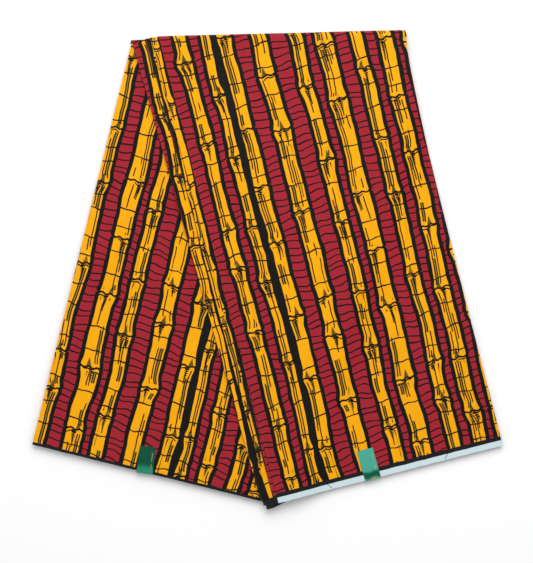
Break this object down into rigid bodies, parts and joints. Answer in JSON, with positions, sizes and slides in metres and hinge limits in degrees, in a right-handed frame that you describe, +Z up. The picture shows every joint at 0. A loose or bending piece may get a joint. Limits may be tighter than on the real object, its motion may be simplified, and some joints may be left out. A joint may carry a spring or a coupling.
{
  "type": "folded wax print fabric",
  "caption": "Length of wax print cotton, pleated into a flat stack and folded over at a slant so that its ends spread into an upside-down V with stepped fold edges.",
  "frame": {"origin": "on the table, under the middle of the outline", "axes": "+Z up, away from the table; +Y towards the slanted fold; +X from the back leg to the front leg"},
  "size_m": [0.6006, 0.612, 0.0166],
  "materials": {
    "print": "waxed cotton print, orange canes and crimson stripes on black, slight glaze",
    "hidden_layers": "waxed cotton print, seen at the folded edges only",
    "foil": "plain green foil paper, satin"
  },
  "bodies": {
    "root": {"back_stack": "hidden_layers", "back_face": "print", "front_stack": "hidden_layers", "pleat_1": "print", "pleat_2": "print", "pleat_3": "print", "front_face": "print", "label_back": "foil", "label_front": "foil"}
  },
  "joints": []
}
